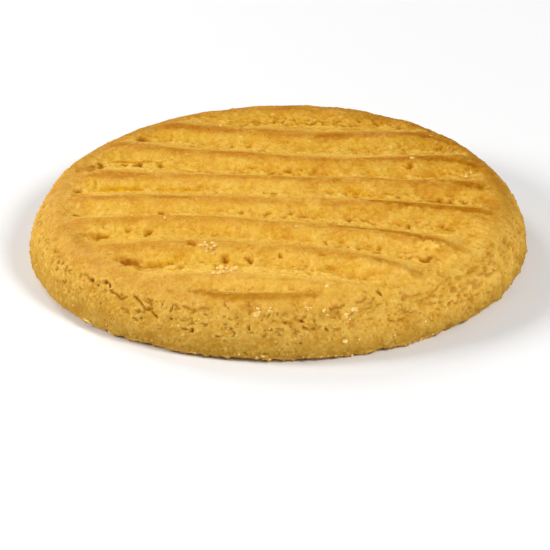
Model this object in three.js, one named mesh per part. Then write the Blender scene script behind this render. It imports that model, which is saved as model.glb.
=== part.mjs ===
// A round shortbread biscuit with a combed top: millimetres, +Z up.
// The origin is the centre of the flat base, and the comb ridges run roughly along X.
// The dough was drawn over with a coarse comb, so the baked skin has broad soft ridges
// that stop short of a smooth rounded shoulder. Below it the side wall bulges a little,
// and a narrow turned-in foot meets the flat base.
import * as THREE from "three";

// Driving dimensions.
const RADIUS = 33; // the outline, where the wall bulges most
const SKIN_HEIGHT = 8.6; // the baked skin at the middle, halfway up the ridges
const RIM_HEIGHT = 7.9; // the skin where it meets the shoulder
const RIDGE_HEIGHT = 0.8; // from the bottom of a groove to the top of a ridge

// Sizes that follow from them.
const BASE_RADIUS = RADIUS - 1.9;
const BULGE_HEIGHT = RIM_HEIGHT * 0.24;
const RIM_RADIUS = RADIUS - 3.9;
const RIDGE_END_RADIUS = RIM_RADIUS + 0.3; // no ridge reaches past this
const RIDGE_FADE = 3.4; // the width of the band over which a ridge sinks into the skin
const SKIN_LOW_EDGE = RIM_HEIGHT * 0.9; // the comb moves only what lies above this

// The corners that pull the curved stretches of the half section, as radius and height.
const FOOT_CORNER = [RADIUS, BULGE_HEIGHT * 0.2];
const WALL_CORNER = [RADIUS - 0.3, RIM_HEIGHT * 0.62];
const SHOULDER_CORNER = [RIM_RADIUS + 2.1, RIM_HEIGHT * 0.94];
const SKIN_CORNER = [RIM_RADIUS * 0.72, SKIN_HEIGHT];

// Facets.
const SEGMENTS = 132;
const SKIN_STEPS = 24;
const SHOULDER_STEPS = 8;
const FOOT_STEPS = 4;

// Each ridge's crest, back to front: its Y where it crosses the middle, its slope, and
// its bow, so that the crest lies at y + slope * x + bow * x * x.
const CRESTS = [
  { y: 28.6, slope: -0.13, bow: 0.006 },
  { y: 18.4, slope: -0.165, bow: 0.006 },
  { y: 10.0, slope: -0.16, bow: 0.007 },
  { y: 3.6, slope: -0.095, bow: 0.0004 },
  { y: -3.0, slope: -0.1, bow: -0.0006 },
  { y: -9.9, slope: -0.19, bow: -0.0035 },
  { y: -16.7, slope: -0.21, bow: -0.007 },
  { y: -25.3, slope: -0.155, bow: -0.0084 },
  { y: -28.8, slope: -0.03, bow: -0.002 },
];

// The outline is a hand-cut round: a few soft lobes, each a share of the radius.
const LOBES = [
  { count: 2, share: 0.004, turn: 0.5 },
  { count: 3, share: 0.009, turn: 1.9 },
  { count: 5, share: 0.003, turn: 0.8 },
];

// The half section, from the middle of the base round to the middle of the skin.
function halfSection() {
  const middle = new THREE.Vector2(0, SKIN_HEIGHT);
  const rim = new THREE.Vector2(RIM_RADIUS, RIM_HEIGHT);
  const bulge = new THREE.Vector2(RADIUS, BULGE_HEIGHT);
  const heel = new THREE.Vector2(BASE_RADIUS, 0);
  const foot = new THREE.QuadraticBezierCurve(heel, new THREE.Vector2(...FOOT_CORNER), bulge);
  const shoulder = new THREE.CubicBezierCurve(
    bulge,
    new THREE.Vector2(...WALL_CORNER),
    new THREE.Vector2(...SHOULDER_CORNER),
    rim,
  );
  const skin = new THREE.QuadraticBezierCurve(rim, new THREE.Vector2(...SKIN_CORNER), middle);
  return [
    new THREE.Vector2(0, 0),
    ...foot.getPoints(FOOT_STEPS),
    ...shoulder.getPoints(SHOULDER_STEPS).slice(1),
    ...skin.getPoints(SKIN_STEPS).slice(1),
  ];
}

// How much wider or narrower than a circle the outline is in this direction.
function outlineShare(x, y) {
  const angle = Math.atan2(y, x);
  return LOBES.reduce(
    (sum, lobe) => sum + lobe.share * Math.cos(lobe.count * angle + lobe.turn),
    1,
  );
}

// From -1 at the bottom of a groove to 1 at the top of a ridge.
function combWave(x, y) {
  const at = CRESTS.map((crest) => crest.y + crest.slope * x + crest.bow * x * x);
  const behind = Math.max(0, at.findLastIndex((crestY, i) => crestY >= y || i === 0));
  const i = Math.min(behind, at.length - 2);
  const phase = (at[i] - y) / (at[i] - at[i + 1]);
  return Math.cos(2 * Math.PI * phase);
}

// How far the combed skin stands above or below its middle height.
function combRelief(x, y) {
  const inside = RIDGE_END_RADIUS - Math.hypot(x, y);
  const strength = THREE.MathUtils.smoothstep(inside, 0, RIDGE_FADE);
  return (RIDGE_HEIGHT / 2) * strength * combWave(x, y);
}

// Turns the half section round the axis, then presses the outline and the comb into it.
function biscuitGeometry() {
  const geometry = new THREE.LatheGeometry(halfSection(), SEGMENTS);
  geometry.rotateX(Math.PI / 2);
  const position = geometry.getAttribute("position");
  for (let i = 0; i < position.count; i++) {
    const share = outlineShare(position.getX(i), position.getY(i));
    const x = position.getX(i) * share;
    const y = position.getY(i) * share;
    const z = position.getZ(i);
    position.setXYZ(i, x, y, z > SKIN_LOW_EDGE ? z + combRelief(x, y) : z);
  }
  geometry.computeVertexNormals();
  return geometry;
}

const biscuit = new THREE.Mesh(
  biscuitGeometry(),
  new THREE.MeshStandardMaterial({ color: 0xdca345, roughness: 0.8, metalness: 0 }),
);
biscuit.name = "biscuit";

const part = new THREE.Group();
part.add(biscuit);

export default part;
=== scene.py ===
"""A round shortbread biscuit with a combed top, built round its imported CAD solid.

The biscuit is laid out as rings of points over the same half section, outline and comb as
the CAD solid, and scaled to the frame's box. The baked surface is then worked in as layers
of relief: torn pits along the grooves, cracks under the shoulder, a crumbly side wall and a
ragged foot. What each layer leaves behind is kept as painted values on the mesh, and the
one dough material reads them. Lengths are in millimetres until a mesh is made.
"""

import math
import random

import bmesh
import bpy
import numpy as np
from mathutils import Matrix, Vector, noise
from mathutils.bvhtree import BVHTree


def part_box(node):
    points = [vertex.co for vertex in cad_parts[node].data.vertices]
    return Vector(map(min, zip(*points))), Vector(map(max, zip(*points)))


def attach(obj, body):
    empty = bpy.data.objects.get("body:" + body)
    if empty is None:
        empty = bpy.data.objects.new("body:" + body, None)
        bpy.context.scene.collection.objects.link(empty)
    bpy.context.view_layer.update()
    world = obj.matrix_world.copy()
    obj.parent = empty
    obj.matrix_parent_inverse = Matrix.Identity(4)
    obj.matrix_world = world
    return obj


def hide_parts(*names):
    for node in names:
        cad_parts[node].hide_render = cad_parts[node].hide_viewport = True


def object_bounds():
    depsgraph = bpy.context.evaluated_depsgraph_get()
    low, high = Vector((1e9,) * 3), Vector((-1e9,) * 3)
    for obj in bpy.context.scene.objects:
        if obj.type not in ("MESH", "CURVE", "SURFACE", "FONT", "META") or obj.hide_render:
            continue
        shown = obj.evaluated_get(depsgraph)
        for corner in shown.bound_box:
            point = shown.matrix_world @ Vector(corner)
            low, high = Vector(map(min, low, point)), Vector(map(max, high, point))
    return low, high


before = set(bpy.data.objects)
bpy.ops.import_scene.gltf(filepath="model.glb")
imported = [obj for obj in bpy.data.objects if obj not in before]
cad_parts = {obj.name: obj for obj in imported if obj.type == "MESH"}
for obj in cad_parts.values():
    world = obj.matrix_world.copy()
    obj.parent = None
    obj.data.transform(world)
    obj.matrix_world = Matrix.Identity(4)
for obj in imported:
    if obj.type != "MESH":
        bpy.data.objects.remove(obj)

CAD_LOW, CAD_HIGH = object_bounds()
NODE_LOW, NODE_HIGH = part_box("biscuit")
MM = 0.001
SEED = 41
FULL_TURN = 2 * math.pi

# The form, as in the CAD solid.
RADIUS = 33.0
SKIN_HEIGHT = 8.6
RIM_HEIGHT = 7.9
RIDGE_HEIGHT = 0.8
BASE_RADIUS = RADIUS - 1.9
BULGE_HEIGHT = RIM_HEIGHT * 0.24
RIM_RADIUS = RADIUS - 3.9
RIDGE_END_RADIUS = RIM_RADIUS + 0.3
RIDGE_FADE = 3.4

# The corners that pull the curved stretches of the half section, as radius and height.
FOOT_CORNER = (RADIUS, BULGE_HEIGHT * 0.2)
WALL_CORNER = (RADIUS - 0.3, RIM_HEIGHT * 0.62)
SHOULDER_CORNER = (RIM_RADIUS + 2.1, RIM_HEIGHT * 0.94)
SKIN_CORNER = (RIM_RADIUS * 0.72, SKIN_HEIGHT)

# Each ridge's crest, back to front: Y where it crosses the middle, its slope and its bow.
CRESTS = (
    (28.6, -0.13, 0.006),
    (18.4, -0.165, 0.006),
    (10.0, -0.16, 0.007),
    (3.6, -0.095, 0.0004),
    (-3.0, -0.1, -0.0006),
    (-9.9, -0.19, -0.0035),
    (-16.7, -0.21, -0.007),
    (-25.3, -0.155, -0.0084),
    (-28.8, -0.03, -0.002),
)

# The outline's soft lobes: how many, their share of the radius and their turn.
LOBES = ((2, 0.004, 0.5), (3, 0.009, 1.9), (5, 0.003, 0.8))

# How far apart the points lie on the skin, on the wall and in the middle of the base.
SKIN_STEP = 0.25
WALL_STEP = 0.205
BASE_STEP = 1.0
BASE_STEP_GROWTH = 1.3
FEWEST_IN_RING = 6

# How far from the axis the skin's relief fades out, and the wall's comes in.
SKIN_FADE = (RIM_RADIUS + 0.4, RIM_RADIUS + 2.0)
WALL_FADE = (RIM_RADIUS - 1.6, RIM_RADIUS + 0.8)
# The base is what faces down, and the toast and painted shade of the back lie above this height.
FACING_DOWN = -0.99
TOAST_AND_SHADE_ABOVE = 5.0
# The comb's marks and colours fade out over these widths, inside the ends of the ridges.
GROOVE_FADE = 2.0
BROWN_FADE = 2.6
SHOULDER_FADE = RIDGE_FADE + 1.5

# How far each layer of relief stands out of the skin, or cuts into it.
SKIN_SWELL = 0.14
SKIN_DIMPLE = 0.1
RIGHT_DIMPLE = 0.05  # added towards the right
DRAG_MARK = 0.06
SKIN_LUMP = 0.12
FLAKE_LIFT = 0.12
LIP_LIFT = 0.06
SHALLOW_TEAR = 0.14
DEEP_TEAR = 0.3
SKIN_PIT_SHARE = 0.45

# The same for the wall, the foot and the base.
WALL_SWELL = 0.16
WALL_DIMPLE = 0.06
CRUMB_DIMPLE = 0.08
CRUMB_LUMP = 0.14
CRUMB_GRAIN = 0.05
HOLLOW_DEPTH = 0.3
CRACK_DEPTH = 0.34
WALL_PIT_SHARE = 0.7
FOOT_JAG = 0.32
BASE_HOLE_DEPTH = 0.3

# Stretches of a ridge, as shares of the way from one crest to the next, 0 on the crest and
# negative behind it: where the groove and the browned band rise and fall, then the back of
# the ridge, painted paler as light, and the painted highlight along it, each from, to and
# how softly.
GROOVE_RISE = (0.2, 0.42)
BROWN_RISE = (-0.19, -0.06)
BROWN_FALL = (0.0, 0.26)
PAINTED_LIGHT_BACK = (-0.5, -0.25, 0.09)
PAINTED_HIGHLIGHT_LINE = (-0.3, -0.21, 0.05)

# How far the side, the painted shade round it and the lip of a mark lie from its middle, 1 being its
# edge.
PIT_SIDE = (0.4, 1.0)
PIT_SHADE = (0.8, 1.3)
PIT_LIP = (1.3, 1.7, 0.3)
CREASE_SIDE = (0.3, 1.0)
CREASE_SHADE = (0.7, 1.6)
CREASE_LIP = (1.9, 2.6, 0.5)
STROKE_SIDE = (0.2, 1.2)
FLAKE_SIDE = (0.7, 1.0)
# The least half width of a crease, and between which half widths it closes up.
NARROWEST_CREASE = 0.08
CREASE_CLOSES = (0.1, 0.04)

# Torn pits in the skin: middle X and Y, half length, half width, depth, turn in degrees.
SKIN_PITS = (
    (-19.2, -18.5, 1.8, 0.9, 0.8, -20),
    (-16.3, -19.5, 2.3, 0.9, 0.32, 4),
    (-23.2, -10.9, 1.3, 0.9, 0.42, -12),
    (-17.0, -10.6, 0.5, 0.8, 0.6, 0),
    (-19.5, -9.9, 0.4, 0.51, 0.4, 0),
    (-25.2, 9.8, 2.2, 1.6, 0.32, 32),
    (-24.0, 10.4, 0.6, 1.7, 1.1, 10),
    (-24.9, 9.4, 0.5, 0.51, 0.5, 30),
    (-25.3, 10.7, 0.5, 0.43, 0.45, 0),
    (-26.1, 9.3, 0.4, 0.43, 0.4, 0),
    (-26.9, 8.5, 0.6, 0.36, 0.5, 20),
    (-18.8, 10.2, 0.7, 0.95, 1.0, 0),
    (-20.6, 10.4, 0.4, 0.72, 0.5, 20),
    (-15.8, 9.9, 0.5, 0.72, 0.5, 20),
    (-18.5, 18.8, 1.1, 0.7, 1.0, -8),
    (-26.7, 2.8, 0.7, 0.58, 0.5, 25),
    (-27.1, 0.9, 0.6, 0.58, 0.6, 10),
    (-25.7, 1.4, 0.6, 0.43, 0.4, 0),
    (-26.4, -4.6, 0.9, 0.51, 0.6, -48),
    (-15.4, -4.9, 0.4, 0.65, 0.5, 20),
    (-6.3, 23.1, 0.6, 0.72, 0.6, 40),
    (-2.2, 13.2, 0.4, 0.65, 0.5, 0),
    (-6.9, -18.8, 0.6, 0.87, 0.7, 0),
    (-3.7, -18.9, 0.6, 0.8, 0.75, 25),
    (0.3, -18.7, 0.4, 0.51, 0.5, 0),
    (5.6, -18.7, 0.4, 0.51, 0.5, 0),
    (6.6, -21.6, 1.0, 0.8, 0.15, 0),
    (13.0, -16.5, 0.45, 1.3, 0.4, -20),
    (19.0, -19.1, 1.5, 0.8, 0.6, 35),
    (16.6, -18.6, 1.2, 0.5, 0.3, 10),
    (22.8, -2.3, 0.8, 0.72, 0.6, -10),
    (22.5, 4.5, 0.5, 0.72, 0.5, 30),
    (17.9, 7.6, 0.6, 0.72, 0.5, -30),
    (-11.2, -15.0, 0.6, 0.9, 0.5, 10),
    (21.4, -2.2, 0.5, 0.7, 0.6, 0),
    (24.6, -2.7, 0.5, 0.7, 0.6, 0),
)

# Fine creases and tears in the skin: X and Y from end to end, and the depth.
SKIN_CREASES = (
    (((-22.6, 11.6), (-20.9, 11.9), (-19.6, 11.2), (-17.6, 11.3), (-15.3, 10.8)), 0.35),
    (((-13.6, 9.0), (-12.4, 8.0), (-11.4, 7.7)), 0.4),
    (((-10.8, 7.8), (-9.4, 7.6), (-8.3, 7.0)), 0.4),
    (((-24.5, 4.8), (-24.4, 3.4)), 0.25),
    (((-18.4, -20.0), (-17.4, -20.6), (-16.0, -20.7), (-14.3, -19.8)), 0.5),
    (((-11.0, 25.0), (-9.0, 24.3), (-7.3, 23.2)), 0.35),
    (((-5.3, 20.9), (-4.7, 22.2), (-3.8, 23.9), (-2.7, 24.3), (-1.4, 23.2), (0.0, 24.4)), 0.5),
    (((0.0, 24.4), (0.7, 23.7), (1.4, 24.5)), 0.4),
    (((3.6, 23.9), (4.6, 22.8), (5.9, 24.2), (6.7, 22.9), (8.0, 23.1), (9.8, 22.1)), 0.5),
    (((-12.6, 15.5), (-11.0, 15.9), (-9.0, 14.4)), 0.25),
    (((12.2, 12.2), (13.1, 11.8), (14.2, 12.0)), 0.35),
    (((20.3, 11.4), (21.4, 12.4), (22.4, 12.0), (24.4, 14.0)), 0.5),
    (((18.7, -2.0), (21.0, -1.8), (23.4, -2.6)), 0.3),
    (((-11.4, -26.6), (-9.0, -27.0), (-6.5, -27.8), (-2.5, -28.1), (1.5, -28.0), (3.7, -27.4)), 0.6),
    (((-13.2, -20.6), (-11.6, -20.2), (-9.8, -20.0)), 0.25),
)

# Torn pits in the wall, placed by how far to the right of the front they lie along the
# outline and by their height: middle, half length, half width, depth, turn in degrees.
WALL_PITS = (
    (-38.9, 6.45, 0.32, 0.28, 0.4, 60),
    (-36.6, 5.95, 0.32, 0.24, 0.35, 0),
    (-34.3, 5.75, 0.4, 0.24, 0.4, -60),
    (-30.9, 6.15, 0.4, 0.32, 0.35, -40),
    (-28.5, 6.25, 0.6, 0.26, 0.9, 0),
    (-27.3, 6.15, 0.4, 0.18, 0.6, -10),
    (-26.2, 6.65, 0.64, 0.24, 0.8, 0),
    (-25.2, 6.5, 0.4, 0.18, 0.6, -25),
    (-20.0, 3.9, 0.52, 0.18, 0.5, -15),
    (-16.9, 4.75, 0.32, 0.22, 0.7, -50),
    (-11.8, 3.95, 0.36, 0.26, 0.5, 0),
    (-4.0, 4.8, 0.32, 0.2, 0.4, 0),
    (-2.0, 4.8, 0.28, 0.18, 0.4, 0),
    (-1.4, 6.5, 0.24, 0.2, 0.35, 0),
    (-0.3, 6.5, 0.24, 0.2, 0.35, 0),
    (0.6, 5.6, 0.4, 0.22, 0.6, 10),
    (2.9, 5.7, 0.48, 0.21, 0.8, -20),
    (4.6, 5.7, 0.28, 0.22, 0.5, 0),
    (6.0, 4.6, 0.32, 0.32, 0.6, 40),
    (13.2, 7.2, 0.36, 0.24, 0.6, 10),
    (14.4, 7.4, 0.28, 0.32, 0.6, 30),
    (14.7, 6.3, 0.24, 0.24, 0.4, 40),
    (14.5, 4.5, 0.28, 0.24, 0.4, 0),
    (21.0, 3.5, 0.28, 0.24, 0.45, 30),
    (24.1, 4.2, 0.28, 0.24, 0.6, 30),
    (22.8, 4.3, 0.24, 0.18, 0.4, 30),
)

# Cracks in the wall, placed in the same way from end to end, and the depth.
WALL_CREASES = (
    (((-30.9, 6.45), (-29.4, 6.45), (-28.5, 6.25)), 0.35),
    (((-24.9, 6.15), (-23.4, 5.85), (-22.8, 5.65), (-21.9, 5.95)), 0.45),
    (((-21.1, 6.45), (-19.6, 5.85), (-18.7, 5.35), (-17.9, 5.45), (-17.3, 5.05), (-16.8, 4.65)), 0.5),
    (((-15.1, 5.85), (-14.7, 6.45), (-13.8, 6.15)), 0.4),
    (((-13.3, 6.45), (-11.8, 6.25), (-9.8, 6.6)), 0.35),
    (((3.0, 4.9), (3.7, 4.5), (4.4, 4.7)), 0.5),
    (((6.9, 6.7), (8.1, 6.9), (8.9, 7.0)), 0.5),
    (((10.6, 7.1), (11.4, 7.1), (12.2, 7.3)), 0.45),
    (((14.6, 4.4), (15.3, 4.1)), 0.4),
    (((15.8, 4.2), (16.8, 4.1)), 0.45),
    (((17.0, 5.0), (17.9, 4.7), (18.5, 4.7)), 0.4),
    (((17.1, 6.4), (18.0, 6.8)), 0.35),
    (((24.2, 4.3), (24.8, 4.2), (26.2, 4.5)), 0.45),
)

# Strokes where the ridges browned most: X and Y from end to end, half width, strength.
BROWN_STROKES = (
    (((-20.9, -18.1), (-19.5, -18.1), (-18.1, -18.4)), 0.7, 1.1),
    (((-10.3, -26.8), (-8.0, -27.6), (-5.7, -28.1)), 0.8, 1.1),
    (((-5.7, -28.1), (-1.4, -28.4), (2.4, -28.2)), 1.1, 1.4),
    (((2.4, -28.2), (4.4, -28.4)), 0.8, 1.0),
    (((-15.9, -23.8), (-11.2, -23.4), (-6.1, -24.0), (-3.2, -24.6)), 1.3, 0.55),
    (((12.3, -19.9), (15.0, -21.6), (17.9, -23.6)), 0.75, 1.1),
    (((6.9, -10.2), (14.3, -12.1), (20.1, -14.7), (24.3, -16.9)), 0.75, 1.05),
    (((12.7, -3.6), (18.9, -4.9), (23.5, -5.7), (27.7, -6.1)), 0.85, 1.2),
    (((20.0, 3.5), (24.1, 2.2), (27.1, 1.1)), 0.8, 1.3),
    (((18.6, 9.4), (22.0, 9.6), (27.2, 8.4)), 0.7, 1.1),
    (((17.5, 18.4), (21.5, 17.4), (24.0, 15.6)), 0.6, 0.8),
)

# Strips of clear yellow dough, deepened as painted shade, in the same form.
YOLK_AND_SHADE_STROKES = (
    (((-26.9, 8.6), (-25.2, 8.8)), 0.9, 1.2),
    (((-23.5, 2.7), (-21.0, 2.9), (-18.5, 2.4)), 0.6, 1.2),
    (((-16.0, 2.0), (-14.0, 1.9)), 0.7, 1.2),
    (((-13.5, 1.9), (-12.5, 2.0), (-11.0, 1.6)), 0.7, 1.3),
    (((-17.0, -19.6), (-14.6, -18.9), (-13.0, -18.1)), 0.9, 1.2),
    (((-9.0, -19.4), (-4.2, -20.2)), 0.8, 0.8),
    (((5.4, -22.0), (9.6, -21.6)), 0.9, 0.9),
    (((9.3, 0.6), (13.9, -1.3)), 0.8, 0.8),
)

# Dough flakes that lift off the skin: middle X and Y, half length, half width, turn.
FLAKES = (
    (19.8, 20.2, 1.5, 0.8, -10),
    (25.4, 12.3, 1.3, 0.8, 40),
    (19.4, -16.2, 1.4, 0.9, -25),
    (18.5, 9.8, 0.5, 0.4, 0),
    (8.5, -24.6, 2.2, 0.3, -24),
    (20.5, -12.6, 3.6, 0.4, -20),
    (-19.8, 8.7, 2.6, 0.5, -6),
)

# Where pale crumbs lie on the skin: middle X and Y, how many, how far they spread, size.
SKIN_CRUMBS = (
    (-7.7, 21.5, 1, 0.05, 0.4),
    (2.3, -11.0, 1, 0.1, 0.28),
    (-7.0, -20.6, 5, 0.7, 0.4),
    (-5.9, -21.3, 4, 0.5, 0.36),
    (-6.6, -22.3, 5, 0.8, 0.36),
    (-7.7, -23.3, 4, 0.5, 0.32),
    (-9.3, -16.4, 12, 0.95, 0.32),
    (-14.8, -7.9, 2, 0.2, 0.28),
    (-19.0, -9.4, 2, 0.3, 0.22),
    (6.1, -26.9, 2, 0.1, 0.3),
    (18.4, 9.6, 3, 0.2, 0.34),
    (26.2, 6.2, 5, 1.0, 0.22),
)
# Where they cling to the wall, placed like the wall's pits: middle, how many, spread, size.
WALL_CRUMBS = (
    (-3.2, 6.4, 9, 0.5, 0.32),
    (-1.3, 6.9, 4, 0.3, 0.24),
    (4.2, 6.8, 4, 0.4, 0.24),
    (6.0, 6.5, 4, 0.4, 0.24),
    (8.9, 5.9, 5, 0.4, 0.26),
    (10.4, 6.3, 5, 0.35, 0.36),
    (8.3, 2.9, 1, 0.05, 0.48),
    (10.1, 2.9, 1, 0.05, 0.28),
    (19.6, 3.2, 1, 0.05, 0.26),
    (-3.1, 0.7, 7, 0.7, 0.26),
    (-27.6, 1.2, 5, 0.5, 0.28),
)

# Stray crumbs all round the wall, most of them low down.
STRAY_CRUMBS = 260
STRAY_HEIGHTS = (0.4, 0.6, 0.9)
STRAY_HEIGHT_RANGE = (1, 7)
STRAY_SIZE_RANGE = (0.09, 0.2)
STRAY_SPREAD = 0.2

# Each crumb is a stretched hull of corners. How its row's size varies, how far its corners
# reach and how high its middle lies over the surface are all shares of its size.
CRUMB_CORNERS = 24
CRUMB_SIZE_RANGE = (0.6, 1.15)
CRUMB_REACH = (0.65, 1.1)
CRUMB_STRETCH = ((0.8, 1.3), (0.7, 1.1), (0.6, 1.0))
CRUMB_RISE = 0.15
# How widely crumbs scatter, across and up the wall, as shares of their row's spread.
SCATTER_ACROSS = 0.6
SCATTER_UP = 0.4
# How far out from the wall and how high over the base crumbs start, and the lowest start.
CRUMB_CLEARANCE = 5
ABOVE_THE_SKIN = 12
LOWEST_CRUMB = 0.3

# The colours that the materials mix, as 0 to 255 display values.
COLOURS = {
    "skin": (235, 188, 85),
    "darker skin": (231, 178, 73),
    # Clear yellow dough, deepened as painted shade in grooves and hollows.
    "yolk_and_hollow_shade": (222, 163, 6),
    # Tan on the rim, mostly a painted sheen on the left shoulder.
    "tan rim": (218, 167, 80),
    "browned ridge": (204, 136, 39),
    "singed edge": (187, 127, 0),
    "golden tint": (252, 253, 222),
    "crumb": (219, 176, 82),
    # Painted shade over the back and right of the rim.
    "painted back shade": (243, 241, 208),
    # Painted shade, darker towards the foot.
    "painted foot shade": (220, 218, 206),
    # Pale flakes, crumb and foot, and painted light and highlights on ridge backs, lips and the front
    # right wall.
    "flake": (255, 212, 106),
    # The next two: painted shade in the relief's hollows and painted light on its lumps.
    "painted hollow shade": (234, 216, 162),
    "painted lump light": (255, 224, 136),
    "rim patch tint": (241, 234, 216),
    "mottle tint": (246, 236, 208),
    "grain tint": (247, 240, 218),
    "brown speck": (182, 120, 30),
    "sandy tint": (212, 190, 130),
    "pale speck": (248, 206, 116),
    # Painted shade in pits, cracks and holes, over the browner torn dough.
    "cavity_brown_and_shade": (166, 100, 0),
    "underside": (206, 146, 62),
    "pale crumb": (246, 214, 132),
    "golden crumb": (234, 190, 92),
}

FLOOR_HALF_WIDTH = 2.0
FLOOR_GREYS = ((0.9, 0.9, 0.9, 1.0), (0.92, 0.92, 0.92, 1.0))
FLOOR_PATCH = 400.0

# Softboxes: name, place from the biscuit's middle in metres, width in metres, watts.
SOFTBOXES = (
    ("left", (-0.6, -0.02, 0.3), 0.25, 3.1),
    ("front_right", (0.42, -0.4, 0.48), 0.25, 3.6),
    ("back_left", (-0.35, 0.45, 0.4), 0.25, 1.4),
)
WHITE = (1.0, 1.0, 1.0, 1.0)
SKY_STRENGTH = 0.25
HORIZON_STRENGTH = 0.95
# The horizon's white gives way to the sky between these heights, 1 being straight up.
HORIZON_TOP = 0.03
SKY_BOTTOM = 0.2

# The camera, in degrees, metres and, for its lens and sensor, millimetres.
CAMERA_ELEVATION = 26.2
CAMERA_ROLL = -0.95
CAMERA_DISTANCE = 0.5
CAMERA_LENS = 245.0
CAMERA_SENSOR = 36.0
CAMERA_CLIP = (0.01, 10.0)
# Where the biscuit's middle lies in the frame: right of and above the frame's middle.
FRAMING = (0.52 * MM, 7.5 * MM)

# How far a step of the seed moves the noise and the cells, so that no two layers match.
NOISE_SHIFT = 19.7
CELL_SHIFT = 11.3
# What a point is multiplied by to drop it onto the base.
FLATTEN = (1, 1, 0)

# Where a mix node keeps its factor and its two colours, and where it gives the mixed one.
# The names of these sockets are shared with those for numbers and vectors.
MIX_INPUTS = (0, 6, 7)
MIX_OUTPUT = 2


# Helpers.


def smooth_step(values, low, high):
    """0 at low, 1 at high and a smooth run between them; low may be the larger."""
    t = np.clip((values - low) / (high - low), 0.0, 1.0)
    return t * t * (3.0 - 2.0 * t)


def bump(values, low, high, soft):
    """1 between low and high, and down to 0 over the soft distance on each side."""
    return smooth_step(values, low - soft, low) * (1 - smooth_step(values, high, high + soft))


def soft_noise(points, size, seed):
    """Smooth noise, about -1 to 1, in lumps of this size, which may differ by axis."""
    scaled = points / np.asarray(size, float) + NOISE_SHIFT * seed
    return np.array([noise.noise(p) for p in scaled.tolist()])


def layered_noise(points, size, layers, seed):
    """Layers of noise, each half the size and half the strength of the one before."""
    size = np.asarray(size, float)
    return sum(soft_noise(points, size / 2**k, seed + k) / 2**k for k in range(layers))


def cell_distances(points, size, seed):
    """How far the nearest and the second nearest of scattered seeds are, as shares of size."""
    scaled = points / np.asarray(size, float) + CELL_SHIFT * seed
    return np.array([noise.voronoi(p)[0][:2] for p in scaled.tolist()]).T


def strongest(*layers):
    """The highest of the layers at each point."""
    return np.maximum.reduce(layers)


# The form.


def bezier(*controls, steps=240):
    """Points along the curve that these controls pull."""
    t = np.linspace(0.0, 1.0, steps)[:, None]
    rows = [np.tile(control, (steps, 1)).astype(float) for control in controls]
    while len(rows) > 1:
        rows = [near * (1 - t) + far * t for near, far in zip(rows, rows[1:])]
    return rows[0]


def spaced(line, first_step, last_step, growth=1.0):
    """Points along a line, the gap between them growing from the first step to the last."""
    gone = np.concatenate([[0.0], np.cumsum(np.hypot(*np.diff(line, axis=0).T))])
    places = [0.0]
    step = first_step
    while places[-1] + step * 1.5 < gone[-1]:
        places.append(places[-1] + step)
        step = min(last_step, step * growth)
    places.append(gone[-1])
    return np.stack([np.interp(places, gone, line[:, axis]) for axis in (0, 1)], axis=1)


def half_section():
    """(radius, height) of each ring, from the middle of the skin to the middle of the base."""
    middle = (0, SKIN_HEIGHT)
    rim = (RIM_RADIUS, RIM_HEIGHT)
    bulge = (RADIUS, BULGE_HEIGHT)
    heel = (BASE_RADIUS, 0)
    skin = bezier(middle, SKIN_CORNER, rim)
    shoulder = bezier(rim, SHOULDER_CORNER, WALL_CORNER, bulge)
    foot = bezier(bulge, FOOT_CORNER, heel)
    base = bezier(heel, (0, 0))
    wall = np.concatenate([shoulder, foot[1:]])
    return np.concatenate(
        [
            spaced(skin, SKIN_STEP, SKIN_STEP),
            spaced(wall, WALL_STEP, WALL_STEP)[1:],
            spaced(base, WALL_STEP, BASE_STEP, BASE_STEP_GROWTH)[1:],
        ]
    )


def ring_of(section, k):
    """Ring k's points, their outward normals, and each point's share of a turn."""
    radius, height = section[k]
    before, after = section[max(k - 1, 0)], section[min(k + 1, len(section) - 1)]
    span = np.hypot(*(after - before))
    run, rise = (after - before) / span
    gap = span / 2
    count = 1
    if radius > SKIN_STEP / 4:
        count = max(FEWEST_IN_RING, round(FULL_TURN * radius / gap))
    turns = (np.arange(count) + 0.5 * (k % 2)) / count  # every other ring is half a gap round
    cos, sin = np.cos(FULL_TURN * turns), np.sin(FULL_TURN * turns)
    points = np.column_stack([radius * cos, radius * sin, np.full(count, height)])
    normals = np.column_stack([-rise * cos, -rise * sin, np.full(count, run)])
    return points, normals, turns.tolist()


def stitch(inner, outer):
    """Triangles between two rings, each a list of (share of a turn, point number)."""
    if len(inner) == 1:
        around = [number for _, number in outer]
        return [(inner[0][1], a, b) for a, b in zip(around, around[1:] + around[:1])]
    if len(outer) == 1:
        return [(a, c, b) for a, b, c in stitch(outer, inner)]
    inner = [*inner, (inner[0][0] + 1, inner[0][1])]
    outer = [*outer, (outer[0][0] + 1, outer[0][1])]
    faces = []
    i = j = 0
    while i < len(inner) - 1 or j < len(outer) - 1:
        outer_is_next = i == len(inner) - 1 or (
            j < len(outer) - 1 and outer[j][0] + outer[j + 1][0] < inner[i][0] + inner[i + 1][0]
        )
        if outer_is_next:
            faces.append((inner[i][1], outer[j][1], outer[j + 1][1]))
            j += 1
        else:
            faces.append((inner[i][1], outer[j][1], inner[i + 1][1]))
            i += 1
    return faces


def lay_out():
    """The plain turned form: its points, outward normals and triangles."""
    section = half_section()
    points, normals, faces = [], [], []
    before = None
    total = 0
    for k in range(len(section)):
        ring_points, ring_normals, turns = ring_of(section, k)
        ring = [(turn, total + i) for i, turn in enumerate(turns)]
        if before:
            faces += stitch(before, ring)
        points.append(ring_points)
        normals.append(ring_normals)
        before = ring
        total += len(ring)
    points, normals = np.concatenate(points), np.concatenate(normals)
    angle = np.arctan2(points[:, 1], points[:, 0])
    share = 1 + sum(share * np.cos(count * angle + turn) for count, share, turn in LOBES)
    points[:, :2] *= share[:, None]
    return points, normals, faces


# The comb.


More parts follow.
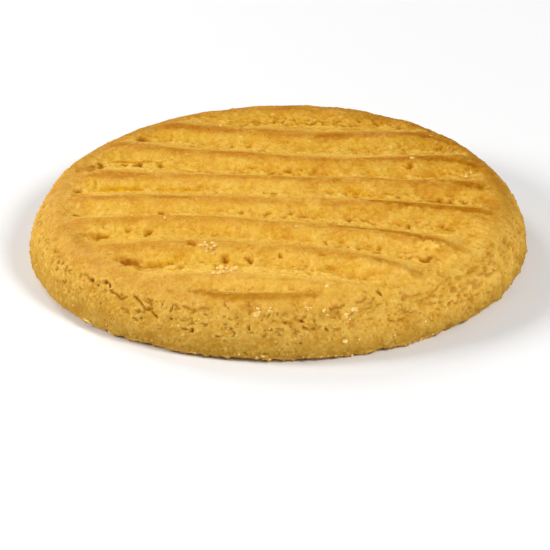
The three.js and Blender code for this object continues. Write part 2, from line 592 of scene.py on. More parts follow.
def crest_y(crest, x):
    """Where the crest lies at this X."""
    middle, slope, bow = crest
    return middle + slope * x + bow * x * x


def comb_phase(points):
    """0 on the backmost crest, 1 on the next one to the front, and so on."""
    x, y = points[:, 0], points[:, 1]
    at = np.stack([crest_y(crest, x) for crest in CRESTS])
    behind = np.clip((at >= y).sum(axis=0) - 1, 0, len(CRESTS) - 2)
    columns = np.arange(len(x))
    back, front = at[behind, columns], at[behind + 1, columns]
    return behind + (back - y) / (back - front)


def comb_strength(points, fade=RIDGE_FADE):
    """1 over the combed skin, and 0 out on the shoulder, where the comb didn't reach."""
    inside = RIDGE_END_RADIUS - np.hypot(points[:, 0], points[:, 1])
    return smooth_step(inside, 0.0, fade)


# Pits and creases.


def pushed(spots, points, size, reach, seed):
    """2-D spots on the surface, pushed about by noise read at their 3-D points."""
    sway = [soft_noise(points, size, seed + axis) for axis in (0, 1)]
    return spots + reach * np.stack(sway, axis=1)


def turned_distance(spots, x, y, half_length, half_width, turn):
    """How far each spot is from the middle of a turned oval, 1 on its edge."""
    cos, sin = math.cos(math.radians(turn)), math.sin(math.radians(turn))
    dx, dy = spots[:, 0] - x, spots[:, 1] - y
    return np.hypot((dx * cos + dy * sin) / half_length, (dy * cos - dx * sin) / half_width)


def pit_marks(spots, pits, ragged):
    """The depth of the pits at each spot, and how far it is from the nearest, 1 on its edge."""
    depth = np.zeros(len(spots))
    nearest = np.full(len(spots), np.inf)
    for *oval, deep, turn in pits:
        away = turned_distance(spots, *oval, turn) + ragged
        depth = np.maximum(depth, deep * (1 - smooth_step(away, *PIT_SIDE)))
        nearest = np.minimum(nearest, away)
    return depth, nearest


def distance_to_line(spots, corners):
    """How far each spot is from the line that runs through the corners."""
    nearest = np.full(len(spots), np.inf)
    for start, end in zip(corners, corners[1:]):
        run = np.subtract(end, start)
        share = np.clip((spots - start) @ run / (run @ run), 0.0, 1.0)
        nearest = np.minimum(nearest, np.hypot(*(spots - start - share[:, None] * run).T))
    return nearest


def crease_marks(spots, creases, half_width):
    """The depth of the creases at each spot, and how many half widths it is from the nearest.

    A crease closes up where it runs narrow.
    """
    closed = smooth_step(half_width, *CREASE_CLOSES)
    depth = np.zeros(len(spots))
    nearest = np.full(len(spots), np.inf)
    half_width = np.maximum(half_width, NARROWEST_CREASE)
    for corners, deep in creases:
        away = distance_to_line(spots, corners) / half_width + 2 * closed
        depth = np.maximum(depth, deep * (1 - smooth_step(away, *CREASE_SIDE)))
        nearest = np.minimum(nearest, away)
    return depth, nearest


def torn_places(spots, pits, creases, ragged, half_width):
    """The depth of pits and creases, the painted shade in and round them, and the lips beside them.
    """
    pit_depth, from_pit = pit_marks(spots, pits, ragged)
    crease_depth, from_crease = crease_marks(spots, creases, half_width)
    clear_of_pits = smooth_step(from_pit, *PIT_SHADE)
    clear_of_creases = smooth_step(from_crease, *CREASE_SHADE)
    shade_round_marks = 1 - np.minimum(clear_of_pits, clear_of_creases)
    lips = np.maximum(bump(from_pit, *PIT_LIP), bump(from_crease, *CREASE_LIP))
    return np.maximum(pit_depth, crease_depth), shade_round_marks, lips * (1 - shade_round_marks)


def stroke_strength(spots, strokes):
    """How strongly the strokes show at each spot."""
    strength = np.zeros(len(spots))
    for corners, half_width, strong in strokes:
        away = distance_to_line(spots, corners) / half_width
        strength = np.maximum(strength, strong * (1 - smooth_step(away, *STROKE_SIDE)))
    return strength


# The baked surface.


def lumps(points, size, seed):
    """Rounded lumps side by side, about 1 on top of a lump and 0 in the gaps between them."""
    nearest, second = cell_distances(points, size, seed)
    return smooth_step(second - nearest, 0.0, 0.45) * (1.1 - nearest)


def comb_offset(flat):
    """How far in front of its nearest crest each point is, in shares of a ridge: -0.5 to 0.5."""
    sway = layered_noise(flat, size=(9, 4, 9), layers=2, seed=1)
    phase = comb_phase(flat) + 0.07 * sway
    return phase - np.round(phase)


def skin_texture(flat, strength, groove, to_right):
    """The skin's swells, dimples, drag marks and lumps: their relief, and painted shade and light
    that follow it.
    """
    streaks = strength * soft_noise(flat, size=(6, 0.6, 6), seed=6)
    swells = soft_noise(flat, size=8, seed=4)
    dimples = layered_noise(flat, size=2.0, layers=3, seed=5)
    roughness = soft_noise(flat, size=4, seed=17) + 0.5 * groove + 0.6 * to_right
    rough = smooth_step(roughness, -0.3, 0.5)
    swayed = flat + 0.3 * soft_noise(flat, size=1.1, seed=15)[:, None]
    crumbly = lumps(swayed, size=1.0, seed=12) - 0.5
    relief = SKIN_SWELL * swells + (SKIN_DIMPLE + RIGHT_DIMPLE * to_right) * dimples
    relief += DRAG_MARK * streaks + SKIN_LUMP * rough * crumbly
    relief_shading = 0.5 + (0.3 + 0.25 * to_right) * dimples + 0.15 * streaks + 0.3 * rough * crumbly
    return relief, relief_shading


def groove_tears(flat, groove):
    """How deep the dough is torn along the grooves, and the low lips beside the tears."""
    openness = soft_noise(flat, size=(6, 3, 6), seed=9) + 0.02 * flat[:, 0]
    hurt = groove * smooth_step(openness, -0.4, 0.3)
    torn = layered_noise(flat, size=(1.1, 0.6, 1), layers=3, seed=7)
    shallow = SHALLOW_TEAR * smooth_step(torn, -0.05, 0.3)
    deep = DEEP_TEAR * smooth_step(torn, 0.3, 0.6)
    return hurt * (shallow + deep), hurt * bump(torn, -0.25, -0.12, soft=0.12)


def flake_marks(flat, ragged):
    """1 on the lifted flakes of dough, and 0 off them."""
    flakes = np.zeros(len(flat))
    for flake in FLAKES:
        away = turned_distance(flat, *flake) + 1.2 * ragged
        flakes = np.maximum(flakes, 1 - smooth_step(away, *FLAKE_SIDE))
    return flakes


def ridge_browning(flat, wander):
    """How brown the crests are: in patches, more at the back and least at the front right."""
    x, y, _ = flat.T
    band = smooth_step(wander, *BROWN_RISE) * (1 - smooth_step(wander, *BROWN_FALL))
    patchy = 0.85 + 0.65 * layered_noise(flat, size=(6, 1.8, 7), layers=2, seed=16)
    patchy *= 0.7 + 0.8 * smooth_step(y, -5, 26)
    patchy *= 1 - 0.7 * (smooth_step(x, -4, 3) * smooth_step(y, -20, -23))
    return band * comb_strength(flat, BROWN_FADE) * np.clip(patchy, 0.2, 1.2)


def yolk_and_shade_strips(flat, spots, groove):
    """How yellow the dough is, deepened as painted shade: faintly so in parts of the grooves, and
    fully on the strips.
    """
    yellow = layered_noise(flat, size=(4, 1.2, 4), layers=2, seed=8)
    faint = 0.22 * groove * smooth_step(yellow, 0.0, 0.5)
    return np.maximum(faint, stroke_strength(spots, YOLK_AND_SHADE_STROKES))


def pale_skin_and_painted_light(flat, wander):
    """How pale the skin is: on the backs of the ridges as painted light, in a painted highlight along
    them, and all over towards the front.
    """
    combed = comb_strength(flat, GROOVE_FADE)
    painted_light_backs = 0.5 * bump(wander, *PAINTED_LIGHT_BACK) * combed
    front = 0.4 * smooth_step(flat[:, 1], -12, -24)
    highlight_lines = 0.4 * bump(wander, *PAINTED_HIGHLIGHT_LINE) * combed
    highlight_lines *= smooth_step(soft_noise(flat, size=(3, 1, 3), seed=19), -0.1, 0.4)
    return np.maximum(painted_light_backs + front, highlight_lines)


def skin_relief(points):
    """How far the combed skin stands above its middle height, and what shows on it."""
    flat = points * FLATTEN
    x, y, _ = points.T
    to_right = smooth_step(x, -5, 20)
    off_crest = comb_offset(flat)
    strength = comb_strength(points)
    groove = smooth_step(np.abs(off_crest), *GROOVE_RISE) * comb_strength(points, GROOVE_FADE)

    liveliness = 1 + 0.3 * soft_noise(flat, size=(14, 5, 9), seed=3)
    ridges = RIDGE_HEIGHT / 2 * strength * liveliness * np.cos(FULL_TURN * off_crest)
    texture, relief_shading = skin_texture(flat, strength, groove, to_right)
    tears, tear_lips = groove_tears(flat, groove)
    ragged = 0.7 * layered_noise(flat, size=0.8, layers=3, seed=10)
    spots = pushed(points[:, :2], flat, size=0.8, reach=0.25, seed=60)
    depth, shade_round_marks, lips = torn_places(spots, SKIN_PITS, SKIN_CREASES, ragged, 0.2 + 0.22 * ragged)
    depth *= 1 + 0.5 * layered_noise(flat, size=0.6, layers=2, seed=11)
    lips = np.maximum(lips, tear_lips)
    flakes = flake_marks(flat, ragged)
    relief = ridges + texture + FLAKE_LIFT * flakes + LIP_LIFT * lips
    relief -= np.maximum(tears, SKIN_PIT_SHARE * depth)

    wander = off_crest + 0.035 * soft_noise(flat, size=(2.5, 1.2, 2), seed=18)
    strokes = stroke_strength(spots, BROWN_STROKES)
    singed_ends = strokes * np.maximum(smooth_step(x, 3, 12), smooth_step(y, -25, -27))
    yolk_and_hollow_shade = yolk_and_shade_strips(flat, spots, groove)
    return relief, {
        "browning": np.maximum(ridge_browning(flat, wander), strokes),
        "singed": np.maximum(singed_ends, 0.14 * to_right * strength),
        # Clear yellow, deepened as painted shade in the grooves, tears and round the marks.
        "yolk_and_hollow_shade": strongest(yolk_and_hollow_shade, tears / 0.4, 0.65 * shade_round_marks).clip(0, 1),
        # Painted shade and light that follow the relief.
        "relief_shading": relief_shading,
        # Painted shade in tears, pits and creases, over the browner torn dough.
        "cavity_brown_and_shade": strongest(2.8 * tears - 0.3, 2.8 * depth - 0.3, 0.15 * shade_round_marks).clip(0, 1),
        # Pale flakes, painted highlights on the lips, and the pale skin with its painted light.
        "flake": strongest(flakes, 0.35 * lips, pale_skin_and_painted_light(flat, wander)),
    }


def along_outline(points):
    """How far to the right of the front each point lies along the outline."""
    along = (np.arctan2(points[:, 1], points[:, 0]) + math.pi / 2) * RADIUS
    half_way = math.pi * RADIUS
    return (along + half_way) % (2 * half_way) - half_way


def wall_texture(points, crumb, to_right):
    """The wall's swells, dimples and lumps of crumb: their relief, and painted shade and light that
    follow it.
    """
    swells = soft_noise(points, size=7, seed=22)
    dimples = (1 + 0.4 * to_right) * layered_noise(points, size=1.9, layers=3, seed=23)
    swayed = points + 0.3 * soft_noise(points, size=1.0, seed=25)[:, None]
    crumbly = lumps(swayed, size=(0.9, 0.9, 0.7), seed=24) - 0.5
    relief = WALL_SWELL * swells + (WALL_DIMPLE + CRUMB_DIMPLE * crumb) * dimples
    relief += crumb * CRUMB_LUMP * crumbly
    relief += crumb * CRUMB_GRAIN * layered_noise(points, size=0.45, layers=2, seed=26)
    return relief, 0.5 + 0.25 * dimples + 0.3 * crumb * crumbly


def wall_openness(points, upper, to_right):
    """How open the crumb is: more so in the upper wall and at the right."""
    openness = layered_noise(points, size=(1.15, 1.15, 0.5), layers=3, seed=28) - 0.1
    openness += 0.3 * upper + 0.22 * to_right
    return openness + 0.3 * soft_noise(points, size=4.0, seed=45)


def wall_cracks(points, upper):
    """The depth of the broken cracks in the upper wall."""
    line = soft_noise(points, size=(3.0, 3.0, 1.3), seed=30)
    line = np.abs(line + 0.25 * layered_noise(points, size=0.9, layers=2, seed=31))
    unbroken = layered_noise(points, size=(1.8, 1.8, 1.5), layers=2, seed=33)
    unbroken = smooth_step(unbroken, 0.15, 0.4)
    return CRACK_DEPTH * upper * unbroken * (1 - smooth_step(line, 0.01, 0.06))


def foot_relief(points):
    """How far the foot's ragged edge stands out."""
    foot = 1 - smooth_step(points[:, 2], 0.2, 1.4)
    drawn_out = points * (1, 1, 0.4)
    return FOOT_JAG * foot * layered_noise(drawn_out, size=1.1, layers=3, seed=37)


def pale_crumb(points):
    """How pale the wall is: along the foot, and in flecks under the shoulder."""
    height = points[:, 2]
    foot = smooth_step(soft_noise(points, size=1.5, seed=41), -0.3, 0.3)
    flecks = smooth_step(layered_noise(points, size=0.9, layers=2, seed=47), 0.45, 0.75)
    foot *= bump(height, 0.35, 0.8, soft=0.35)
    flecks *= bump(height, 4.5, 7.0, soft=0.6)
    return np.maximum(0.5 * foot, 0.4 * flecks)


def wall_relief(points):
    """How far the crumbly wall stands out from the turned form, and what shows on it."""
    x, _, height = points.T
    to_right = smooth_step(x, 4, 18)
    upper = bump(height, 4.4, 6.9, soft=1.5)
    edge = 7.0 + 0.7 * layered_noise(points, size=3.0, layers=2, seed=20)
    crumb = 1 - smooth_step(height, edge - 1.0, edge + 0.8)

    relief, relief_shading = wall_texture(points, crumb, to_right)
    openness = wall_openness(points, upper, to_right)
    hollows = HOLLOW_DEPTH * crumb * smooth_step(openness, 0.53, 0.85)
    cracks = wall_cracks(points, upper)
    ragged = 0.5 * layered_noise(points, size=0.9, layers=3, seed=34)
    spots = np.stack([along_outline(points), height], axis=1)
    spots = pushed(spots, points, size=0.7, reach=0.2, seed=62)
    depth, shade_round_marks, lips = torn_places(spots, WALL_PITS, WALL_CREASES, ragged, 0.16 + 0.2 * ragged)
    lips = np.maximum(lips, 0.8 * crumb * bump(openness, 0.4, 0.5, soft=0.12))
    relief += LIP_LIFT * lips - strongest(hollows, cracks, WALL_PIT_SHARE * depth)
    relief += foot_relief(points)
    return relief, {
        "crumb": crumb,
        # Painted shade, darker towards the foot.
        "low": 1 - smooth_step(height, 0.5, 6.0),
        # Painted shade and light that follow the relief.
        "relief_shading": relief_shading,
        # Painted shade in hollows, cracks and pits, over the browner torn crumb.
        "cavity_brown_and_shade": strongest(1.8 * hollows, 1.6 * cracks, 1.6 * depth, 0.2 * shade_round_marks).clip(0, 1),
        # Pale crumb, and painted highlights on the lips.
        "flake": np.maximum(pale_crumb(points), 0.4 * lips),
    }


def base_holes(points):
    """1 in the base's small holes, none of which reaches its edge."""
    inner = smooth_step(BASE_RADIUS - np.hypot(points[:, 0], points[:, 1]), 0.2, 1.5)
    return inner * smooth_step(layered_noise(points, size=1.6, layers=2, seed=50), 0.4, 0.8)


# Of these, deep and low hold painted shade, and flake holds painted light besides pale dough.
PAINTED = (
    "browning",
    "singed",
    "yolk_and_hollow_shade",
    "tan_and_sheen",
    "deep",
    "relief_shading",
    "cavity_brown_and_shade",
    "flake",
    "crumb",
    "rugged",
    "low",
    "underside",
)


def lay_on(paint, shows, where, share):
    """Adds what shows on one stretch of the surface to the painted values."""
    for name, values in shows.items():
        paint[name][where] = paint[name][where] * (1 - share) + values * share


def paint_rim(points, on_base, paint):
    """The tan rim, mostly a painted sheen on the left, toasted and painted with shade at the back,
    and painted light on the front right wall.
    """
    x, y, height = points.T
    upper = height > TOAST_AND_SHADE_ABOVE
    shoulder = 1 - comb_strength(points, SHOULDER_FADE)
    # Tan over the shoulder, mostly on the left as painted sheen.
    paint["tan_and_sheen"] = shoulder * (0.1 + 0.9 * smooth_step(-x, -RADIUS, RADIUS))
    paint["rugged"] = shoulder * ~on_base

    # Toast over the back of the shoulder, strong enough to be painted shade there too.
    to_the_back = np.maximum(y - 0.1 * x, 0.8 * x + 0.6 * y)
    toast_and_back_shade = shoulder * smooth_step(to_the_back, 0.3 * RADIUS, RADIUS) * upper
    paint["browning"] = np.maximum(paint["browning"], 0.5 * toast_and_back_shade)
    paint["singed"] = np.maximum(paint["singed"], 0.75 * toast_and_back_shade * smooth_step(x, -5, 15))

    # Painted shade over the back, where less light falls.
    right_back = smooth_step(0.6 * x + 0.8 * y, 0, RADIUS)
    left_back = smooth_step(y - 0.3 * x, 0.25 * RADIUS, 0.85 * RADIUS)
    paint["deep"] = np.maximum(right_back, left_back) * upper

    # Painted light on the wall at the front right, which faces the light.
    front_right = smooth_step(0.68 * x - 0.73 * y, 0.62 * RADIUS, RADIUS)
    front_right *= smooth_step(height, 1.0, 4.5)
    paint["flake"] = np.maximum(paint["flake"], 0.55 * front_right * ~on_base)


def baked_surface():
    """The whole baked surface in millimetres, its triangles and its painted values."""
    points, normals, faces = lay_out()
    radius = np.hypot(points[:, 0], points[:, 1])
    on_base = normals[:, 2] < FACING_DOWN
    on_skin = ~on_base & (radius < SKIN_FADE[1])
    on_wall = ~on_base & (radius > WALL_FADE[0])
    paint = {name: np.zeros(len(points)) for name in PAINTED}
    paint["relief_shading"] += 0.5
    moved = points.copy()

    relief, shows = skin_relief(points[on_skin])
    share = 1 - smooth_step(radius[on_skin], *SKIN_FADE)
    moved[on_skin, 2] += relief * share
    lay_on(paint, shows, on_skin, share)

    relief, shows = wall_relief(points[on_wall])
    share = smooth_step(radius[on_wall], *WALL_FADE)
    share = np.where(points[on_wall, 2] < RIM_HEIGHT / 2, 1.0, share)
    moved[on_wall] += normals[on_wall] * (relief * share)[:, None]
    lay_on(paint, shows, on_wall, share)

    holes = base_holes(points[on_base])
    moved[on_base, 2] += BASE_HOLE_DEPTH * holes
    # Painted shade in the base's holes.
    paint["cavity_brown_and_shade"][on_base] = holes
    paint["crumb"][on_base] = 0.3
    paint["underside"] = on_base.astype(float)
    paint_rim(points, on_base, paint)
    moved[:, 2] = np.maximum(moved[:, 2], 0.0)
    return moved, faces, paint


def frame_scale():
    """How the frame's box compares with the plain form's, along each axis."""
    form_size = np.ptp(lay_out()[0], axis=0)
    form_size[2] = SKIN_HEIGHT + RIDGE_HEIGHT / 2
    return np.array(NODE_HIGH - NODE_LOW) / MM / form_size


def add_to_scene(name, data):
    """A new object that shows this data."""
    item = bpy.data.objects.new(name, data)
    bpy.context.scene.collection.objects.link(item)
    return item


def build_biscuit():
    points, faces, paint = baked_surface()
    points *= frame_scale()
    mesh = bpy.data.meshes.new("biscuit_baked")
    mesh.from_pydata((points * MM).tolist(), [], faces)
    mesh.shade_smooth()
    for name, values in paint.items():
        attribute = mesh.attributes.new(name, "FLOAT", "POINT")
        attribute.data.foreach_set("value", values.astype(np.float32))
    return add_to_scene("biscuit_baked", mesh)


# Materials.


def shade(name):
    """A named colour, turned by the sRGB curve into the linear one that a shader takes."""
    linear = [((value / 255 + 0.055) / 1.055) ** 2.4 for value in COLOURS[name]]
    return (*linear, 1.0)


class Nodes:
    """A material's node tree, with short calls for the nodes that these materials use."""

    def __init__(self, name):
        self.material = bpy.data.materials.new(name)
        self.material.use_nodes = True
        self.tree = self.material.node_tree
        self.shader = self.tree.nodes["Principled BSDF"]
        self.coordinates = self.tree.nodes.new("ShaderNodeTexCoord").outputs["Object"]

    def feed(self, value, socket):
        """Links another node's output to a socket, or sets it to a constant."""
        if isinstance(value, bpy.types.NodeSocket):
            self.tree.links.new(value, socket)
        else:
            socket.default_value = value

    def add(self, kind, inputs):
        """A new node of this kind, its inputs fed by name."""
        node = self.tree.nodes.new("ShaderNode" + kind)
        for name, value in inputs.items():
            self.feed(value, node.inputs[name])
        return node

    def painted(self, name, strength=1.0):
        """One of the mesh's painted values, and a share of it where the strength is below 1."""
        node = self.tree.nodes.new("ShaderNodeAttribute")
        node.attribute_name = name
        value = node.outputs["Fac"]
        return value if strength == 1.0 else self.times(value, strength)

    def noise(self, size_mm, detail=2.0, roughness=0.5):
        scale = 1 / (size_mm * MM)
        inputs = {"Vector": self.coordinates, "Scale": scale, "Detail": detail}
        return self.add("TexNoise", {**inputs, "Roughness": roughness}).outputs["Fac"]

    def ranged(self, value, low, high, to_low=0.0, to_high=1.0):
        inputs = {"Value": value, "From Min": low, "From Max": high}
        node = self.add("MapRange", {**inputs, "To Min": to_low, "To Max": to_high})
        return node.outputs["Result"]

    def math(self, kind, first, second):
        node = self.tree.nodes.new("ShaderNodeMath")
        node.operation = kind
        node.use_clamp = True
        for value, socket in zip((first, second), node.inputs):
            self.feed(value, socket)
        return node.outputs["Value"]

    def times(self, first, second):
        return self.math("MULTIPLY", first, second)

    def mix(self, share, first, second, kind="MIX"):
        node = self.tree.nodes.new("ShaderNodeMix")
        node.data_type = "RGBA"
        node.blend_type = kind
        for value, i in zip((share, first, second), MIX_INPUTS):
            self.feed(value, node.inputs[i])
        return node.outputs[MIX_OUTPUT]

    def tint(self, share, colour, name):
        """The colour, multiplied by a named tint where the share is 1."""
        tinted = self.mix(1.0, colour, shade(name), "MULTIPLY")
        return self.mix(share, colour, tinted)

    def warped(self, size_mm, reach_mm):
        """The coordinates, pushed about by noise, for patterns that would look too regular."""
        noise_inputs = {"Vector": self.coordinates, "Scale": 1 / (size_mm * MM)}
        push = self.tree.nodes.new("ShaderNodeVectorMath")
        push.operation = "MULTIPLY_ADD"
        by, times, start = push.inputs[:3]
        self.feed(self.add("TexNoise", noise_inputs).outputs["Color"], by)
        self.feed((2 * reach_mm * MM,) * 3, times)
        self.feed(self.coordinates, start)
        return push.outputs["Vector"]

    def specks(self, spacing_mm, radius, strength):
        """Scattered uneven specks, their radius a share of the spacing between them."""
        place = self.warped(size_mm=spacing_mm * 0.4, reach_mm=spacing_mm * 0.3)
        node = self.add("TexVoronoi", {"Vector": place, "Scale": 1 / (spacing_mm * MM)})
        return self.ranged(node.outputs["Distance"], radius, radius * 0.6, 0.0, strength)

    def bump(self, height, distance_mm):
        inputs = {"Height": height, "Strength": 1.0, "Distance": distance_mm * MM}
        self.feed(self.add("Bump", inputs).outputs["Normal"], self.shader.inputs["Normal"])


def baked_colours(n):
    """The skin's and the crumb's colours, before the fine mottling."""
    uneven = n.ranged(n.noise(size_mm=6.0), 0.35, 0.65)
    colour = n.mix(uneven, shade("skin"), shade("darker skin"))
    # Clear yellow, deepened as painted shade in the grooves and hollows.
    colour = n.mix(n.painted("yolk_and_hollow_shade"), colour, shade("yolk_and_hollow_shade"))
    # Tan on the rim, mostly on the left as painted sheen.
    colour = n.mix(n.painted("tan_and_sheen"), colour, shade("tan rim"))
    colour = n.mix(n.painted("browning", 0.9), colour, shade("browned ridge"))
    colour = n.mix(n.painted("singed", 0.9), colour, shade("singed edge"))
    colour = n.tint(n.ranged(n.noise(size_mm=1.8), 0.38, 0.62), colour, "golden tint")
    colour = n.mix(n.painted("crumb"), colour, shade("crumb"))
    # Painted shade over the back of the rim.
    colour = n.tint(n.painted("deep"), colour, "painted back shade")
    # Painted shade, darker towards the foot.
    colour = n.tint(n.painted("low"), colour, "painted foot shade")
    # Pale flakes and crumb, and painted light and highlights.
    return n.mix(n.painted("flake", 0.7), colour, shade("flake"))


def mottled(n, colour):
    """The colour with painted shade in its hollows, painted light on its lumps, and patches, grain
    and specks laid over it.
    """
    # Painted shade in the relief's hollows and painted light on its lumps.
    relief_shading = n.painted("relief_shading")
    colour = n.tint(n.ranged(relief_shading, 0.5, 0.0), colour, "painted hollow shade")
    colour = n.mix(n.ranged(relief_shading, 0.5, 1.0, 0.0, 0.2), colour, shade("painted lump light"))
    patches = n.ranged(n.noise(size_mm=2.4, detail=3.0, roughness=0.6), 0.5, 0.36)
    colour = n.tint(n.times(patches, n.painted("rugged")), colour, "rim patch tint")
    mottle = n.ranged(n.noise(size_mm=0.9, detail=3.0, roughness=0.6), 0.6, 0.35)
    colour = n.tint(mottle, colour, "mottle tint")
    grain = n.ranged(n.noise(size_mm=0.4, detail=2.0, roughness=0.6), 0.62, 0.38)
    colour = n.tint(grain, colour, "grain tint")
    specks = n.specks(spacing_mm=1.1, radius=0.18, strength=0.6)
    colour = n.mix(specks, colour, shade("brown speck"))
    # Sandy specks, more over the back's painted shade and over the crumb.
    rough = n.math("MAXIMUM", n.painted("deep"), n.painted("crumb"))
    sandy = n.specks(spacing_mm=0.75, radius=0.24, strength=0.7)
    colour = n.tint(n.times(sandy, n.ranged(rough, 0.0, 1.0, 0.25, 1.0)), colour, "sandy tint")
    specks = n.specks(spacing_mm=1.9, radius=0.15, strength=0.35)
    return n.mix(specks, colour, shade("pale speck"))


def dough_material():
    """Golden skin that browns on the ridges, over a paler and more open crumb."""
    n = Nodes("baked_dough")
    colour = mottled(n, baked_colours(n))
    # Painted shade in pits, cracks and holes, over the browner torn dough.
    colour = n.mix(n.painted("cavity_brown_and_shade", 0.95), colour, shade("cavity_brown_and_shade"))
    colour = n.mix(n.painted("underside"), colour, shade("underside"))
    n.feed(colour, n.shader.inputs["Base Color"])
    roughness = n.ranged(n.painted("crumb"), 0.0, 1.0, 0.65, 0.85)
    n.feed(roughness, n.shader.inputs["Roughness"])
    n.shader.inputs["Specular IOR Level"].default_value = 0.06
    n.shader.inputs["Subsurface Weight"].default_value = 0.1
    n.shader.inputs["Subsurface Radius"].default_value = (1.0, 0.5, 0.15)
    n.shader.inputs["Subsurface Scale"].default_value = 0.3 * MM
    n.bump(n.noise(size_mm=0.8, detail=3.0, roughness=0.6), distance_mm=0.3)
    return n.material


def crumb_material():
    n = Nodes("loose_crumb")
    uneven = n.ranged(n.noise(size_mm=0.5), 0.3, 0.7)
    colour = n.mix(uneven, shade("pale crumb"), shade("golden crumb"))
    n.feed(colour, n.shader.inputs["Base Color"])
    n.shader.inputs["Roughness"].default_value = 0.6
    n.bump(n.noise(size_mm=0.15, detail=3.0), distance_mm=0.05)
    return n.material


# Loose crumbs.


def stray_crumb(rng):
    """One crumb somewhere on the wall, as a row of WALL_CRUMBS."""
    height = rng.choice((*STRAY_HEIGHTS, rng.uniform(*STRAY_HEIGHT_RANGE)))
    along = rng.uniform(-math.pi, math.pi) * RADIUS
    return along, height, 1, STRAY_SPREAD, rng.uniform(*STRAY_SIZE_RANGE)


def crumb_places(rng):
    """A point just outside the surface, a direction back to it, and a size for each crumb."""
    places = []
    down = Vector((0, 0, -1))
    for x, y, count, spread, size in SKIN_CRUMBS:
        for _ in range(count):
            scatter = spread * SCATTER_ACROSS
            at = Vector((rng.gauss(x, scatter), rng.gauss(y, scatter), ABOVE_THE_SKIN))
            places.append((at, down, size * rng.uniform(*CRUMB_SIZE_RANGE)))
    wall = [*WALL_CRUMBS, *(stray_crumb(rng) for _ in range(STRAY_CRUMBS))]
    for along, height, count, spread, size in wall:
        for _ in range(count):
            around = rng.gauss(along, spread * SCATTER_ACROSS) / RADIUS - math.pi / 2
            out = Vector((math.cos(around), math.sin(around), 0))
            at = out * (RADIUS + CRUMB_CLEARANCE)
            at.z = max(LOWEST_CRUMB, rng.gauss(height, spread * SCATTER_UP))
            places.append((at, -out, size * rng.uniform(*CRUMB_SIZE_RANGE)))
    return places


def crumb_corners(rng, size):
    """The corners of one broken crumb, in millimetres."""
    corners = []
    for _ in range(CRUMB_CORNERS):
        way = Vector((rng.gauss(0, 1), rng.gauss(0, 1), rng.gauss(0, 1))).normalized()
        corners.append(way * size * rng.uniform(*CRUMB_REACH))
    return corners


def build_crumbs(biscuit):
    """The loose crumbs, each sunk a little into the surface below it, as one joined mesh."""
    rng = random.Random(SEED)
    surface = BVHTree.FromObject(biscuit, bpy.context.evaluated_depsgraph_get())
    joined = bmesh.new()
    for at, way, size in crumb_places(rng):
        corners = crumb_corners(rng, size)
        stretch = Vector([rng.uniform(*spans) for spans in CRUMB_STRETCH])
        spot, normal, _, _ = surface.ray_cast(at * MM, way)
        if spot is None:
            continue
        middle = spot + normal * (size * CRUMB_RISE * MM)
        middle.z = max(middle.z, size * MM)
        placed = [joined.verts.new(middle + corner * stretch * MM) for corner in corners]
        hull = bmesh.ops.convex_hull(joined, input=placed)
        bmesh.ops.delete(joined, geom=hull["geom_interior"], context="VERTS")
    mesh = bpy.data.meshes.new("loose_crumbs")
    joined.to_mesh(mesh)
    joined.free()
    return add_to_scene("loose_crumbs", mesh)


# The studio.


def build_floor():
    half = FLOOR_HALF_WIDTH
    corners = [(-half, -half, 0), (half, -half, 0), (half, half, 0), (-half, half, 0)]
    mesh = bpy.data.meshes.new("floor")
    mesh.from_pydata(corners, [], [(0, 1, 2, 3)])
    floor = add_to_scene("floor", mesh)
    n = Nodes("floor")
    n.feed(n.mix(n.noise(FLOOR_PATCH), *FLOOR_GREYS), n.shader.inputs["Base Color"])
    n.shader.inputs["Roughness"].default_value = 0.9
    n.shader.inputs["Specular IOR Level"].default_value = 0.1
    mesh.materials.append(n.material)


def add_light(name, place, aim, width, watts):
    data = bpy.data.lights.new(name, "AREA")
    data.shape = "DISK"
    data.size = width
    data.energy = watts
    light = add_to_scene(name, data)
    light.location = place
    light.rotation_mode = "QUATERNION"
    light.rotation_quaternion = (Vector(aim) - Vector(place)).to_track_quat("-Z", "Y")


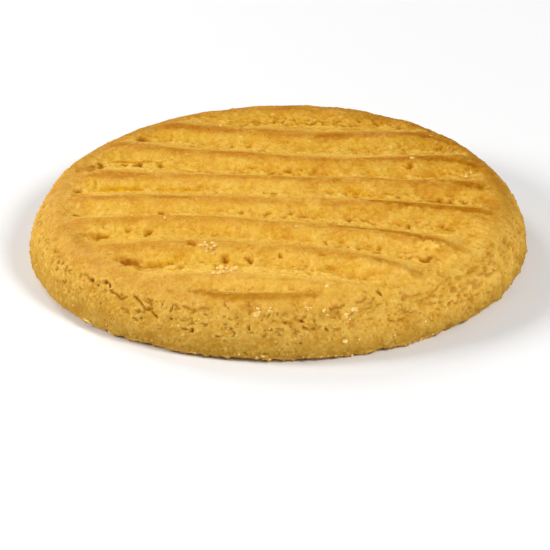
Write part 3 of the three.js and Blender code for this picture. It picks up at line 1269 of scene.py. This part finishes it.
def light_studio(middle):
    """Softboxes round the biscuit, under a dim even sky that is white near the horizon."""
    world = bpy.data.worlds.new("studio")
    world.use_nodes = True
    nodes, links = world.node_tree.nodes, world.node_tree.links
    height = nodes.new("ShaderNodeSeparateXYZ")
    links.new(nodes.new("ShaderNodeTexCoord").outputs["Generated"], height.inputs["Vector"])
    fall = nodes.new("ShaderNodeMapRange")
    fall.inputs["From Min"].default_value = HORIZON_TOP
    fall.inputs["From Max"].default_value = SKY_BOTTOM
    fall.inputs["To Min"].default_value = HORIZON_STRENGTH
    fall.inputs["To Max"].default_value = SKY_STRENGTH
    links.new(height.outputs["Z"], fall.inputs["Value"])
    background = nodes["Background"]
    background.inputs["Color"].default_value = WHITE
    links.new(fall.outputs["Result"], background.inputs["Strength"])
    bpy.context.scene.world = world
    for name, place, width, watts in SOFTBOXES:
        add_light(name, middle + Vector(place), middle, width, watts)


def add_camera(middle):
    elevation = math.radians(CAMERA_ELEVATION)
    back = Vector((0, -math.cos(elevation), math.sin(elevation)))
    up = Vector((0, math.sin(elevation), math.cos(elevation)))
    right_shift, up_shift = FRAMING
    place = middle + back * CAMERA_DISTANCE
    aim = middle - Vector((right_shift, 0, 0)) - up * up_shift
    data = bpy.data.cameras.new("camera")
    data.lens = CAMERA_LENS
    data.sensor_width = CAMERA_SENSOR
    data.clip_start, data.clip_end = CAMERA_CLIP
    camera = add_to_scene("camera", data)
    camera.location = place
    camera.rotation_mode = "QUATERNION"
    turn = (aim - place).to_track_quat("-Z", "Y").to_matrix()
    turn = turn @ Matrix.Rotation(math.radians(CAMERA_ROLL), 3, "Z")
    camera.rotation_quaternion = turn.to_quaternion()
    bpy.context.scene.camera = camera


middle = (CAD_LOW + CAD_HIGH) / 2
bpy.context.scene.view_settings.view_transform = "Standard"
add_camera(middle)
light_studio(middle)
build_floor()

biscuit = build_biscuit()
biscuit.data.materials.append(dough_material())
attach(biscuit, "root")
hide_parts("biscuit")

crumbs = build_crumbs(biscuit)
crumbs.data.materials.append(crumb_material())
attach(crumbs, "root")
